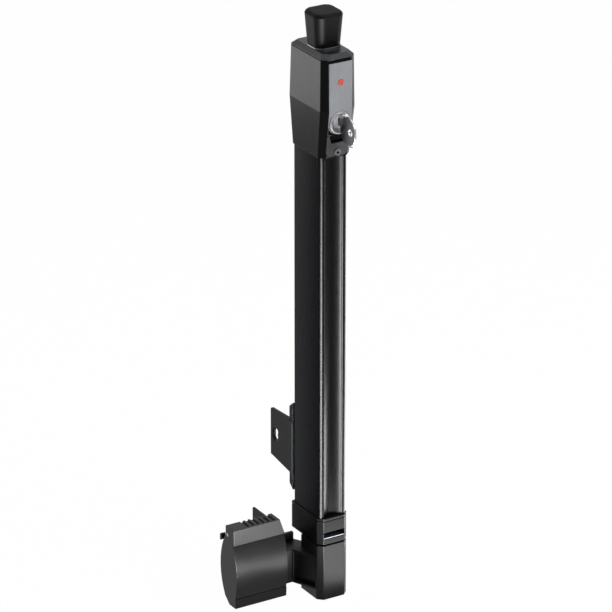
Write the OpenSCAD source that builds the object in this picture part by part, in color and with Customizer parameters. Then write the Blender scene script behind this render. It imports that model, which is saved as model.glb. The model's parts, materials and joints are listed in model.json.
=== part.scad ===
// Magnetic pool gate latch: a lift knob on a tall tube works a magnet that
// draws a pin up out of the striker on the gate. A key lock holds the rod.
// x runs along the fence, y points back into the post, z is up.
// The origin is the centre of the post bracket's back face.

/* [Tube] */
// Width of the tube across its front
tube_w = 28.6; // [28.2:0.1:29.2]
// Depth of the tube from front to back
tube_d = 43; // [42.6:0.1:43.6]
// Radius of the tube's rear corners
tube_r = 2.9; // [1.5:0.1:4]
// Radius of the two beads along the tube's front edges
bead_r = 2; // [1.8:0.1:2.3]
// Depth of the hollow between the two beads
front_hollow = 2.9; // [2.4:0.1:3]
// Wall of the tube
tube_wall = 2.2; // [1.8:0.1:2.6]
// Length of tube that shows between the cuff and the head
tube_show = 350.5; // [250:5:450]
// Depth of the bracket channel in the tube's back
channel_d = 9.5; // [8:0.5:11]
// Width of the bracket channel inside
channel_w = 20; // [17:0.5:21]
// Width of the slot that opens the channel
slot_w = 11; // [9:0.5:13]
// Thickness of the two lips beside the slot
lip_t = 3; // [2.4:0.1:3.4]
// Radius of the screw ports in the tube
port_r = 1.45; // [1.2:0.05:1.6]

/* [Head] */
// Height of the head shell below its cap
head_h = 92.3; // [88:0.5:100]
// Height of the bend line above the head's bottom
bend_h = 45; // [44:0.5:47]
// How far the head stands out at each side of the tube, at the bend line
head_side = 3.3; // [3:0.05:5]
// How far the head stands out ahead of the tube
head_ahead = 14.1; // [13.6:0.1:15]
// How far the head stands out behind the tube
head_behind = 3.3; // [3.1:0.1:5]
// How far the head's front draws back from the bend to the bottom
chin = 6.4; // [5:0.2:7]
// Chamfer on the head's front corners
head_corner = 5.7; // [4:0.1:6]
// Thickness of the head's side walls
head_wall = 2.4; // [2:0.1:2.8]
// Height of the cap
cap_h = 4.7; // [4:0.1:7]
// Inset of the cap's top from its rim
cap_bevel = 3.8; // [2:0.1:5]

/* [Knob] */
// Height of the knob
knob_h = 31; // [26:0.5:38]
// Width across the knob's rim
knob_w = 29; // [27:0.5:31]
// Width across the knob's foot
knob_foot = 25; // [24:0.2:26]
// Corner radius of the knob
knob_r = 8.6; // [6:0.2:9]
// How far the knob lifts
knob_lift = 20; // [14:0.5:20]
// How far the lift axis lies ahead of the tube's centre
lift_ahead = 5.4; // [5:0.1:5.8]
// Radius of the lift rod
rod_r = 3; // [2.6:0.1:3.2]

/* [Lock] */
// Height of the lock's centre above the head's bottom
lock_up = 34.2; // [33:0.2:35]
// Radius of the lock's body
lock_r = 8.8; // [8.4:0.1:9]
// Radius of the plug that the key turns
plug_r = 6; // [5.4:0.1:6.4]
// Outer radius of the bezel
bezel_r = 10.6; // [10:0.1:11]
// Height of the indicator window above the head's bottom
window_up = 71.5; // [68:0.5:76]
// Radius of the indicator window
window_r = 2.7; // [2:0.1:3.2]
// Half width of the silver faceplate
plate_half = 11.7; // [11.2:0.1:12]
// Thickness of the faceplate
plate_t = 1.5; // [1:0.1:1.8]
// Width of the key's bow, out from the lock
bow_out = 24; // [18:0.5:28]
// Height of the key's bow
bow_h = 25; // [20:0.5:27]

/* [Cuff] */
// Wall of the cuff at each side of the tube
cuff_side = 1.4; // [1.3:0.1:3]
// Wall of the cuff ahead of the tube
cuff_ahead = 5.1; // [4.8:0.1:7.4]
// Wall of the cuff behind the tube
cuff_behind = 1.9; // [1.6:0.1:3]
// Height of the cuff
cuff_h = 26; // [24:0.5:34]
// Chamfer on the cuff's and the block's front corners
corner = 4.8; // [3:0.1:5.5]
// Depth of the cuff's floor below the tube
floor_t = 13; // [12.6:0.1:14]
// Height of the window in the cuff's front
notch_h = 6.5; // [5:0.1:6.6]
// Depth of the window in the cuff's front
notch_d = 9.5; // [7:0.5:10]

/* [Striker] */
// Gap between the cuff and the striker as the gate swings
swing_gap = 1.5; // [1:0.1:4]
// Height of the striker block
block_h = 54.5; // [50:0.5:64]
// Back of the block, behind the tube's centre
block_back = 9; // [8:0.5:12]
// Radius of the latch pin
pin_r = 4; // [3.4:0.1:4.4]
// How far the latch pin rises
pin_rise = 10; // [8:0.5:10]
// Sideways adjustment each way
adjust = 3; // [2:0.5:3]
// Upward adjustment of the latch on its bracket
height_adjust = 10; // [6:1:10]
// Left end of the striker cover
cover_left = -88.6; // [-96:0.2:-84]
// Right end of the striker cover
cover_right = -34.6; // [-36:0.1:-34.6]
// Thickness of the cover's walls
cover_t = 2.2; // [1.6:0.1:2.4]
// Height of the cover's top above its pivot
cover_rise = 8.6; // [8:0.1:10]
// Height of the cover in all
cover_h = 78; // [74:0.5:84]

/* [Brackets] */
// Thickness of the post bracket's back plate
back_t = 6; // [5.6:0.1:8]
// Height of the post bracket
post_h = 87; // [78:1:87]
// Reach of the post bracket's side leg behind the post's face
leg_reach = 33.5; // [30:0.5:45]
// Thickness of the side leg
leg_t = 2.6; // [2:0.1:4]
// Gap left between the bracket and the cuff when the latch is raised
bracket_gap = 1; // [0.5:0.5:40]
// Thickness of the gate bracket
gate_t = 2.2; // [1.8:0.1:2.4]
// Reach of the gate bracket's fin behind the gate's face
fin_reach = 29; // [25:0.5:40]
// Radius of the fixing holes
fix_r = 2.6; // [2:0.1:3]

/* [Hidden] */
$fn = 48;
// Running and seating clearances
run = 0.08;
seat = 0.1;
loose = 0.3;
eps = 0.02;
big = 200;

// Places across the depth, from the post's face at y = 0
// The tube's own origin lies this far ahead of its back
tube_back = 22.7;
tube_y = -(back_t + 2*seat + tube_back);
lift_y = -lift_ahead;

// Levels from the cuff up
cuff_top = -(post_h/2 + height_adjust + bracket_gap);
cuff_bot = cuff_top - cuff_h;
tube_bot = cuff_bot + floor_t;
head_bot = cuff_top + tube_show;
head_bend = head_bot + bend_h;
head_top = head_bot + head_h;
cap_top = head_top + cap_h;
tube_top = head_bot + 12;
lock_z = head_bot + lock_up;
window_z = head_bot + window_up;
collar_h = 1.4;
knob_bot = cap_top + collar_h + 0.2;
knob_top = knob_bot + knob_h;
block_top = cuff_bot - swing_gap;
block_bot = block_top - block_h;

// Outsides of the head and the cuff, from the tube's centre
head_w = tube_w + 2*head_side;
head_front = tube_d - tube_back + head_ahead;
head_back = tube_back + head_behind;
cuff_w = tube_w + 2*cuff_side;
cuff_front = tube_d - tube_back + cuff_ahead;
cuff_back = tube_back + cuff_behind;

// The tube's section
cavity_w = tube_w - 2*tube_wall;
web_t = tube_wall;
bead_x = tube_w/2 - bead_r;
bead_y = tube_back - tube_d + bead_r;
ridge_x = bead_x - bead_r*cos(10);
hollow_r = (ridge_x^2 + front_hollow^2)/(2*front_hollow);
hollow_y = bead_y - bead_r*sin(10) + front_hollow - hollow_r;
cavity_front = hollow_y + hollow_r + tube_wall;
web_back = tube_back - lip_t - channel_d;
cavity_back = web_back - web_t;
port_wall = 1.7;
port_x = cavity_w/2 - 2.5;
port_y = cavity_back - 2.5;
slider_back = port_y - port_r - port_wall - loose;
slider_d = slider_back - cavity_front - seat;
slider_y = cavity_front + seat + slider_d/2;
slider_w = cavity_w - 4*seat;

// Plain helpers
module rounded(w, d, r) {
    square([w - 2*r, d], center = true);
    square([w, d - 2*r], center = true);
    for (x = [-1, 1]) {
        for (y = [-1, 1]) {
            translate([x*(w/2 - r), y*(d/2 - r)]) circle(r);
        }
    }
}

module prism(z0, z1) {
    translate([0, 0, z0]) linear_extrude(z1 - z0) children();
}

// A round bar along y, from y0 to y1
module bar_y(r, y0, y1) {
    translate([0, y1, 0]) rotate([90, 0, 0]) cylinder(h = y1 - y0, r = r);
}

// A round bar along x, from x0 to x1
module bar_x(r, x0, x1) {
    translate([x0, 0, 0]) rotate([0, 90, 0]) cylinder(h = x1 - x0, r = r);
}

// A shape drawn in y and z, run along x
module run_x(x0, x1) {
    translate([x0, 0, 0]) rotate([90, 0, 90]) linear_extrude(x1 - x0) children();
}

// A shape drawn in x and z, run along y
module run_y(y0, y1) {
    translate([0, y1, 0]) rotate([90, 0, 0]) linear_extrude(y1 - y0) children();
}

module in_tube() {
    translate([0, tube_y, 0]) children();
}

module on_lift() {
    translate([0, tube_y + lift_y, 0]) children();
}

// One unbroken tube wound as a compression spring, standing on z0
curl_rings = 8;
wire_sides = 6;
function coil_point(a, r, pitch) = [r*cos(a), r*sin(a), pitch*a/360];
function coil_ring(a, r, pitch, wire) = [
    for (s = [0 : wire_sides - 1])
        let (t = 360*s/wire_sides)
        coil_point(a, r, pitch)
        + wire*cos(t)*[cos(a), sin(a), 0]
        + wire*sin(t)*[0, 0, 1]
];
module coil(z0, r, wire, length, turns) {
    pitch = (length - 2*wire)/turns;
    rings = turns*curl_rings;
    points = [
        for (i = [0 : rings])
            each coil_ring(i*360/curl_rings, r, pitch, wire)
    ];
    sides = [
        for (i = [0 : rings - 1])
            for (s = [0 : wire_sides - 1])
                let (n = (s + 1) % wire_sides, a = i*wire_sides, b = (i + 1)*wire_sides)
                each [[a + s, a + n, b + n], [a + s, b + n, b + s]]
    ];
    ends = [
        [for (s = [wire_sides - 1 : -1 : 0]) s],
        [for (s = [0 : wire_sides - 1]) rings*wire_sides + s]
    ];
    echo(least_gap_between_turns = pitch - 2*wire);
    translate([0, 0, z0 + wire]) polyhedron(points, concat(sides, ends));
}

/* Tube and cuff */

// Outside of the tube: a hollow front between two beads
module tube_outline(grow) {
    sides = tube_w + 2*grow;
    difference() {
        union() {
            translate([0, (tube_back + grow + bead_y/2)/2]) rounded(sides, tube_back + grow - bead_y/2, tube_r + grow);
            translate([-sides/2, bead_y]) square([sides, -bead_y]);
            translate([-bead_x, bead_y - 0.8*bead_r]) square([2*bead_x, bead_r]);
        }
        translate([0, hollow_y]) circle(hollow_r - grow, $fn = 160);
    }
    for (x = [-1, 1]) {
        translate([x*bead_x, bead_y]) circle(bead_r + grow);
    }
}

// Inside of the tube ahead of its web, an even wall behind the hollow
module tube_cavity() {
    difference() {
        translate([0, (bead_y + tube_wall + cavity_back)/2])
            rounded(cavity_w, cavity_back - bead_y - tube_wall, 1);
        translate([0, hollow_y]) circle(hollow_r + tube_wall, $fn = 160);
    }
}

module tube_section() {
    difference() {
        union() {
            difference() {
                tube_outline(0);
                tube_cavity();
            }
            for (x = [-1, 1]) {
                translate([x*port_x, port_y]) circle(port_r + port_wall);
                translate([x*(port_x + 1.5), port_y + 1.5]) square(4, center = true);
            }
        }
        for (x = [-1, 1]) {
            translate([x*port_x, port_y]) circle(port_r);
        }
        translate([0, tube_back - lip_t - channel_d/2]) square([channel_w, channel_d], center = true);
        translate([0, tube_back - lip_t/2]) square([slot_w, lip_t + 2*eps], center = true);
    }
}

module body_tube() {
    color("#17181a") in_tube() {
        difference() {
            prism(tube_bot, tube_top) tube_section();
            // Clearance for the head's fixing screw
            translate([0, 0, head_screw_z]) bar_y(head_screw_r + run, -tube_d, 0);
        }
    }
}

// Plan of the cuff and of the block, with chamfered front corners
module chamfered_plan(half, front, back, rear_corner) {
    polygon([
        [-half + corner, -front], [half - corner, -front], [half, -front + corner],
        [half, back - rear_corner], [half - rear_corner, back],
        [-half + rear_corner, back], [-half, back - rear_corner], [-half, -front + corner]
    ]);
}

cuff_half = cuff_w/2;
socket_room = 1.6;
socket_w = 2*(pin_r + adjust + socket_room);
socket_d = 2*(pin_r + socket_room);
socket_t = 1.2;
socket_h = pin_rise - swing_gap + 1.7;
cuff_screw_head = 2.9;
groove_h = 0.8;
// The socket's tongue lies on the floor of the window
notch_z = tube_bot - notch_h - 1.2;
tongue_w = cuff_w - 2*corner - 1;
tongue_t = 0.8;
module socket_tongue(grow) {
    translate([-tongue_w/2 - grow, -cuff_front + 0.7 - grow, notch_z - eps - grow])
        cube([tongue_w + 2*grow, cuff_front + lift_y - socket_d/2 - 0.7 + grow, tongue_t + 2*grow]);
}

module socket_outline(grow) {
    rounded(socket_w + 2*grow, socket_d + 2*grow, socket_d/2 - 0.6 + grow);
}

module lower_cuff() {
    color("#1d1e20") in_tube() difference() {
        prism(cuff_bot, cuff_top) chamfered_plan(cuff_half, cuff_front, cuff_back, 1.2);
        prism(tube_bot, cuff_top + eps) tube_outline(seat);
        // Groove under the top edge
        prism(cuff_top - 3, cuff_top - 3 + groove_h) difference() {
            square(big, center = true);
            chamfered_plan(cuff_half - 0.5, cuff_front - 0.5, cuff_back - 0.3, 1.2);
        }
        // Window over the socket
        translate([-cuff_half + corner, -cuff_front - 1, notch_z])
            cube([cuff_w - 2*corner, notch_d + 1, notch_h]);
        translate([0, lift_y, 0]) prism(cuff_bot - eps, cuff_bot + socket_h + seat) socket_outline(socket_t + seat);
        socket_tongue(0.04);
        for (x = [-1, 1]) {
            translate([x*port_x, port_y, cuff_bot - eps]) cylinder(h = floor_t + 1, r = port_r + 0.35);
            translate([x*port_x, port_y, cuff_bot - eps]) cylinder(h = 3.2, r = cuff_screw_head + seat);
        }
    }
}

module cuff_screws() {
    color("silver") in_tube() for (x = [-1, 1]) {
        translate([x*port_x, port_y, 0]) {
            difference() {
                translate([0, 0, cuff_bot + 1]) cylinder(h = 2.1, r = cuff_screw_head);
                translate([0, 0, cuff_bot + 0.5]) cylinder(h = 1.5, r = 1.3, $fn = 6);
            }
            translate([0, 0, cuff_bot + 3]) cylinder(h = floor_t + 7, r = port_r - 0.05);
        }
    }
}

module pin_socket() {
    color("lightgray") in_tube() difference() {
        union() {
            translate([0, lift_y, 0]) prism(cuff_bot, cuff_bot + socket_h) socket_outline(socket_t);
            socket_tongue(0);
        }
        translate([0, lift_y, 0]) prism(cuff_bot - eps, cuff_bot + socket_h - 0.9) socket_outline(0);
    }
}

/* Head */

front_at_top = head_front - 0.4;
back_at_top = head_back - 1.5;
front_at_bottom = head_front - chin;
back_at_bottom = head_back - 3;
half_bend = head_w/2;
half_top = half_bend - 0.7;
half_bottom = half_bend - 1.6;
rear_r = 4;
edge_r = 1;
head_screw_z = head_bot + 5.2;
head_screw_r = 1.9;
head_screw_cap = 3.4;
// Its cap clears the sloping chin
head_screw_y = -front_at_bottom - chin*(head_screw_z + head_screw_cap - head_bot)/bend_h - 0.05;
cavity_half = half_bottom - head_wall;
front_wall = 2;
low_front = -26.5;
low_back = 22.5;
high_front = -head_front + plate_t + front_wall;
high_back = head_back - 5;
lock_roof = lock_z + 12.2;
chassis_z = tube_top + 6.2;

// A thin slice of the head's outside
module head_slice(z, half, front, back) {
    for (x = [-1, 1]) {
        translate([x*(half - edge_r), -front + head_corner + edge_r*tan(22.5), z]) cylinder(h = eps, r = edge_r, $fn = 24);
        translate([x*(half - head_corner - edge_r*tan(22.5)), -front + edge_r, z]) cylinder(h = eps, r = edge_r, $fn = 24);
        translate([x*(half - rear_r), back - rear_r, z]) cylinder(h = eps, r = rear_r, $fn = 32);
    }
}

// A shape drawn in x and z, laid on the head's bent front from one depth to another
module on_front(shallow, deep) {
    intersection() {
        run_x(-half_bend, half_bend) polygon([
            [-head_front + shallow, head_top + 5], [-head_front + shallow, head_bend],
            [-front_at_bottom + shallow, head_bot], [-front_at_bottom + deep, head_bot],
            [-head_front + deep, head_bend], [-head_front + deep, head_top + 5]
        ]);
        run_y(-head_front - 5, 0) children();
    }
}

plate_top = head_top - 2.6;
module plate_outline(grow) {
    translate([-plate_half - grow, lock_z]) square([2*plate_half + 2*grow, plate_top + grow - lock_z]);
    translate([0, lock_z]) circle(plate_half + grow);
}

chin_low = head_bot + 1.2;
chin_high = lock_z - plate_half - 0.8;
module chin_outline(grow) {
    polygon([
        [-plate_half + 3.4 - grow, chin_low - grow], [plate_half - 3.4 + grow, chin_low - grow],
        [plate_half - 0.6 + grow, chin_low + 3.4], [plate_half - 0.2 + grow, chin_high + grow],
        [-plate_half + 0.2 - grow, chin_high + grow], [-plate_half + 0.6 - grow, chin_low + 3.4]
    ]);
}

pocket_top = 9.6;
pocket_foot = 6.6;
pocket_h = 7.6;
module pocket_outline() {
    polygon([
        [-pocket_top, chin_high + 0.6], [pocket_top, chin_high + 0.6],
        [pocket_foot, chin_high - pocket_h], [-pocket_foot, chin_high - pocket_h]
    ]);
}

module head_shell() {
    color("#202224") in_tube() difference() {
        hull() {
            head_slice(head_bot, half_bottom, front_at_bottom, back_at_bottom);
            head_slice(head_bend, half_bend, head_front, head_back);
            head_slice(head_top - eps, half_top, front_at_top, back_at_top);
        }
        // Socket for the tube
        prism(head_bot - eps, tube_top + eps) tube_outline(seat);
        // Room for the mechanism, narrower behind the lock
        prism(tube_top, lock_roof + 1) translate([0, (low_front + low_back)/2])
            rounded(2*cavity_half, low_back - low_front, 3);
        translate([-cavity_half + 0.2, high_front, lock_roof])
            cube([2*cavity_half - 0.4, high_back - high_front, head_top - lock_roof + 1]);
        // Seats of the plates
        on_front(-2, plate_t) plate_outline(seat);
        on_front(-2, plate_t) chin_outline(seat);
        // Finger pocket under the lock
        on_front(-2, 3) pocket_outline();
        translate([0, 0, lock_z]) bar_y(lock_r + seat, -head_front - 2, -20);
        translate([0, 0, lock_z]) bar_y(bezel_r + seat, -head_front - 2, -bezel_seat);
        translate([0, 0, window_z]) bar_y(window_r + seat, -head_front - 2, -25);
        translate([0, 0, head_screw_z]) bar_y(head_screw_r + run, -head_front - 2, cavity_front);
    }
}

module head_cap() {
    color("#232527") in_tube() difference() {
        union() {
            hull() {
                head_slice(head_top + 0.25, half_top, front_at_top, back_at_top);
                head_slice(head_top + 0.9, half_top, front_at_top, back_at_top);
                head_slice(cap_top - eps, half_top - cap_bevel, front_at_top - cap_bevel, back_at_top - cap_bevel);
            }
            // Skirt that plugs into the shell
            translate([-cavity_half + 0.2 + seat, high_front + seat, head_top - 3.5])
                cube([2*(cavity_half - 0.2 - seat), high_back - high_front - 2*seat, 4]);
        }
        translate([-cavity_half + 1.8, high_front + 1.8, head_top - 4])
            cube([2*(cavity_half - 1.8), high_back - high_front - 3.6, 4.4]);
        translate([0, lift_y, 0]) cylinder(h = cap_top + 5, r = collar_r + seat);
    }
}

module head_screw() {
    color("dimgray") in_tube() translate([0, 0, head_screw_z]) difference() {
        union() {
            bar_y(head_screw_cap, head_screw_y - 1, head_screw_y);
            bar_y(head_screw_r, head_screw_y - 0.5, cavity_front - seat);
        }
        rotate([90, 0, 0]) cylinder(h = big, r = 1.5, $fn = 6);
    }
}

module faceplate() {
    color("#a4a6aa") in_tube() difference() {
        on_front(0, plate_t - 0.1) plate_outline(0);
        translate([0, 0, lock_z]) bar_y(bezel_r + seat, -head_front - 5, -20);
        translate([0, 0, window_z]) bar_y(window_r + seat, -head_front - 5, -20);
    }
}

module chin_plate() {
    color("#7d7f83") in_tube() difference() {
        on_front(0, plate_t - 0.1) difference() {
            chin_outline(0);
            pocket_outline();
        }
        translate([0, 0, head_screw_z]) bar_y(head_screw_r + run, -head_front - 5, -20);
    }
}

module indicator_lens() {
    color("red") in_tube() translate([0, 0, window_z]) {
        bar_y(window_r, -head_front - 0.3, high_front - 0.2);
    }
}

// The slide's level sits just above the lock
slide_z = lock_z + 13.1;
slide_t = 3;
flag_y = high_front + 0.3;
crank = 4.95;
crank_r = 1.5;
slide_shift = 2*crank*sin(45);
slide_x = -slide_shift/2;
cam_y = -13.1;
cam_t = 1.4;

module indicator_flag() {
    color("red") in_tube() {
        translate([slide_x - 1.5, flag_y, slide_z + slide_t + 0.1]) cube([8, -flag_y - 9.4, 1.6]);
        translate([slide_x - 1.5, flag_y, slide_z + slide_t + 0.1]) cube([8, 1.2, window_z + 4.5 - slide_z - slide_t]);
    }
}

chassis_half = cavity_half - loose;
chassis_screw_r = 2.3;
module head_chassis() {
    color("#3a3c3f") in_tube() difference() {
        union() {
            translate([-chassis_half, -9.5, chassis_z]) cube([2*chassis_half, 17.9, 2.4]);
            for (x = [-1, 1]) {
                translate([x*(chassis_half + port_x + chassis_screw_r + 0.2)/2, -0.55, (chassis_z + slide_z)/2])
                    cube([chassis_half - port_x - chassis_screw_r - 0.2, 17.5, slide_z - chassis_z - 2], center = true);
            }
            translate([-chassis_half, -9.5, slide_z - 2.6]) cube([2*chassis_half, 17.9, 2.5]);
            // Rear keeper over the slide
            run_x(-chassis_half, chassis_half) polygon([
                [4.2, slide_z - 0.4], [4.2, slide_z + slide_t + 0.1], [2.4, slide_z + slide_t + 0.1],
                [2.4, slide_z + slide_t + 1.7], [6.6, slide_z + slide_t + 1.7], [6.6, slide_z - 0.4]
            ]);
        }
        translate([0, lift_y, chassis_z - 1]) cylinder(h = 40, r = rod_r + 0.4);
        for (x = [-1, 1]) {
            translate([x*port_x, port_y, chassis_z - 1]) cylinder(h = 4, r = port_r + 0.15);
        }
    }
}

module chassis_screws() {
    color("silver") in_tube() for (x = [-1, 1]) {
        translate([x*port_x, port_y, 0]) {
            translate([0, 0, chassis_z + 2.4]) cylinder(h = 1.8, r = chassis_screw_r);
            translate([0, 0, tube_top - 8]) cylinder(h = chassis_z + 2.5 - tube_top + 8, r = port_r - 0.05);
        }
    }
}

/* Lock */

bezel_front = head_front + 0.2;
bezel_seat = head_front - 3.4;
plug_front = -bezel_seat - 0.9;
keyway_t = 2.2;
keyway_h = 7.4;
blade_len = 14;

module at_lock() {
    translate([0, tube_y, lock_z]) children();
}

module lock_body() {
    color("#8f9194") at_lock() difference() {
        bar_y(lock_r, -bezel_seat + 0.05, -16);
        bar_y(plug_r + run, plug_front - 2, -10);
    }
}

// A dished ring round the lock, flush at its top and proud below
module lock_bezel() {
    color("silver") at_lock() rotate([90, 0, 0]) rotate_extrude() polygon([
        [plug_r + 0.2, bezel_seat], [plug_r + 0.2, bezel_seat + 0.8],
        [bezel_r - 1.6, bezel_front - 0.3], [bezel_r - 1, bezel_front],
        [bezel_r - 0.4, bezel_front], [bezel_r, bezel_front - 0.4], [bezel_r, bezel_seat]
    ]);
}

module lock_nut() {
    color("silver") at_lock() difference() {
        translate([0, low_front + 3.1, 0]) rotate([90, 0, 0]) cylinder(h = 3, r = lock_r + 2.4, $fn = 6);
        bar_y(lock_r + 0.05, -40, 0);
    }
}

module lock_plug() {
    color("#c5c7ca") at_lock() difference() {
        bar_y(plug_r, plug_front, cam_y - 0.1);
        translate([-keyway_t/2, plug_front - 1, -keyway_h/2]) cube([keyway_t, blade_len + 1.6, keyway_h]);
        bar_y(1.2, cam_y - 3.6, 0);
    }
}

module lock_cam() {
    color("#b8babd") at_lock() {
        difference() {
            bar_y(6.7, cam_y, cam_y + cam_t);
            bar_y(1.25, cam_y - 1, 0);
        }
        rotate([0, -45, 0]) translate([0, 0, crank]) bar_y(crank_r, cam_y + cam_t - eps, cam_y + cam_t + 2.1);
    }
}

module cam_screw() {
    color("dimgray") at_lock() {
        bar_y(2.4, cam_y + cam_t, cam_y + cam_t + 1.2);
        bar_y(1.15, cam_y - 3.5, cam_y + cam_t + 0.1);
    }
}

// The slide's keyhole straddles the rod; the fork below rides on the cam's crank
module lock_slide() {
    fork_y = cam_y + cam_t + 0.3;
    color("#b0b2b5") in_tube() difference() {
        union() {
            translate([-11.2, fork_y, slide_z]) cube([16.4, 15.4, slide_t]);
            translate([slide_x - 3.8, fork_y, lock_z + 2.7]) cube([7.6, 1.6, slide_z - lock_z]);
        }
        translate([slide_x - crank_r - 0.3, fork_y - 1, lock_z]) cube([2*crank_r + 0.6, 4, 7.6]);
        translate([0, lift_y, slide_z - 1]) cylinder(h = slide_t + 2, r = rod_r + 0.4);
        translate([-slide_shift, lift_y, slide_z - 1]) cylinder(h = slide_t + 2, r = waist_r + 0.2);
        translate([-slide_shift, lift_y - waist_r - 0.2, slide_z - 1])
            cube([slide_shift, 2*waist_r + 0.4, slide_t + 2]);
    }
}

bow_drop = 4.2;
bow_r = 11;
module key() {
    color("silver") at_lock() {
        difference() {
            run_x(-0.9, 0.9) union() {
                translate([plug_front - 0.6, -3.4]) square([blade_len + 0.6, 6.8]);
                translate([plug_front - 4, -3.4]) square([4, 6.8]);
                translate([bow_y, -bow_drop]) rounded(bow_out, bow_h, bow_r);
            }
            // Cuts along the blade
            for (i = [0 : 3]) {
                translate([-2, plug_front + 3 + 3.4*i, 3.9]) rotate([0, 90, 0]) cylinder(h = 4, r = 1.2 + 0.2*(i % 2));
            }
            translate([-2, bow_y - 4.5, -bow_drop]) rotate([0, 90, 0]) cylinder(h = 4, r = 3.4);
        }
    }
}
bow_y = plug_front - 3 - bow_out/2;

ring_r = 7.4;
ring_wire = 0.8;
module key_ring() {
    color("silver") at_lock() translate([0, bow_y - 4.5, -bow_drop - ring_r + 1.6])
        rotate([90, 0, 12]) rotate_extrude() translate([ring_r, 0]) circle(ring_wire, $fn = 16);
}

/* Lift line */

waist_r = 1.95;
waist_low = slide_z - knob_lift - 0.6;
waist_high = slide_z + slide_t + 0.6;
boss_r = 6.4;
boss_bot = knob_bot - knob_lift - 8;
collar_r = 9.4;
pin_z = boss_bot + 5;
carrier_bot = tube_bot + 0.3;
carrier_h = 28;
magnet_h = 18;
clip_z = tube_top - 50;
guide_t = 8;
// The lower guide sits this far above the tube's foot
guide_z = tube_bot + 67.5;
rod_top = knob_top - 10;

module knob_slice(z, w, r) {
    for (x = [-1, 1]) {
        for (y = [-1, 1]) {
            translate([x*(w/2 - r), y*(w/2 - r), z]) cylinder(h = eps, r = r);
        }
    }
}

module knob() {
    color("#1b1c1e") on_lift() difference() {
        union() {
            hull() {
                knob_slice(knob_bot, knob_foot, knob_r - 1);
                knob_slice(knob_top - 3.2, knob_w, knob_r);
                knob_slice(knob_top - 1.5, knob_w - 1.4, knob_r - 0.7);
                knob_slice(knob_top - 0.5, knob_w - 4, knob_r - 2);
                knob_slice(knob_top - eps, knob_w - 8, knob_r - 4);
            }
            translate([0, 0, boss_bot]) cylinder(h = knob_bot - boss_bot + 1, r = boss_r);
        }
        translate([0, 0, boss_bot - 1]) cylinder(h = rod_top - boss_bot + 1.2, r = rod_r + 0.02);
        translate([0, 0, pin_z]) bar_x(1.52, -10, 10);
    }
}

module knob_collar() {
    color("#6d6f73") on_lift() difference() {
        union() {
            prism(cap_top, cap_top + collar_h) rounded(knob_foot + 0.9, knob_foot + 0.9, knob_r - 0.6);
            translate([0, 0, cap_top - 6]) cylinder(h = 6.5, r = collar_r);
        }
        translate([0, 0, cap_top - 8]) cylinder(h = 12, r = boss_r + run);
    }
}

module knob_pin() {
    color("silver") on_lift() translate([0, 0, pin_z]) bar_x(1.5, -boss_r + 0.1, boss_r - 0.1);
}

module lift_rod() {
    color("lightgray") on_lift() difference() {
        prism(carrier_bot + magnet_h + 0.4, rod_top) circle(rod_r);
        translate([0, 0, waist_low]) difference() {
            cylinder(h = waist_high - waist_low, r = rod_r + 1);
            translate([0, 0, -1]) cylinder(h = 60, r = waist_r);
        }
        translate([0, 0, clip_z]) difference() {
            cylinder(h = 1.1, r = rod_r + 1);
            translate([0, 0, -1]) cylinder(h = 4, r = rod_r - 0.6);
        }
        translate([0, 0, pin_z]) bar_x(1.52, -10, 10);
    }
}

module spring_clip() {
    color("dimgray") on_lift() difference() {
        translate([0, 0, clip_z + 0.05]) cylinder(h = 1, r = 7.2);
        translate([0, 0, clip_z - 1]) cylinder(h = 4, r = rod_r - 0.55);
        translate([-1.6, 0, clip_z - 1]) cube([3.2, 10, 4]);
    }
}

module return_spring() {
    color("silver") on_lift() coil(clip_z + 1.1, 5.2, 0.6, tube_top - guide_t - clip_z - 1.2, 9);
}

module rod_guide_upper() {
    color("#e4e4e0") in_tube() difference() {
        union() {
            prism(tube_top + 0.05, chassis_z - 0.05) translate([0, (cavity_front + web_back)/2 - 0.6])
                rounded(2*chassis_half, web_back - cavity_front + 1.6, 2);
            prism(tube_top - guide_t, tube_top + 0.1) translate([0, slider_y]) rounded(slider_w, slider_d, 1.4);
        }
        translate([0, lift_y, tube_top - guide_t - 1]) cylinder(h = chassis_z - tube_top + guide_t + 2, r = rod_r + run);
        for (x = [-1, 1]) {
            translate([x*port_x, port_y, tube_top - 1]) cylinder(h = chassis_z - tube_top + 2, r = port_r + 0.15);
        }
    }
}

module rod_guide_lower() {
    color("#e4e4e0") in_tube() difference() {
        prism(guide_z, guide_z + guide_t) translate([0, slider_y]) rounded(slider_w + 2*seat, slider_d, 1.4);
        translate([0, lift_y, guide_z - 1]) cylinder(h = guide_t + 2, r = rod_r + run);
    }
}

module magnet_carrier() {
    color("#45474a") in_tube() difference() {
        prism(carrier_bot, carrier_bot + carrier_h) translate([0, slider_y]) rounded(slider_w, slider_d - seat, 1.4);
        translate([0, lift_y, carrier_bot - 1]) cylinder(h = magnet_h + 1.3, r = 6.7);
        translate([0, lift_y, carrier_bot]) cylinder(h = 60, r = rod_r + 0.03);
    }
}

module lift_magnet() {
    color("silver") on_lift() translate([0, 0, carrier_bot + 0.2]) cylinder(h = magnet_h, r = 6.6);
}

module carrier_nut() {
    color("silver") on_lift() difference() {
        translate([0, 0, carrier_bot + carrier_h]) cylinder(h = 4.5, r = 5.6, $fn = 6);
        translate([0, 0, carrier_bot]) cylinder(h = 60, r = rod_r + 0.03);
    }
}

/* Post bracket */

strip_left = -tube_w/2 - 0.65;
leg_low = 26;
leg_drop = 3.4;
rail_w = channel_w - 0.8;
rail_t = 3.2;
screw_gap = 56;

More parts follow.
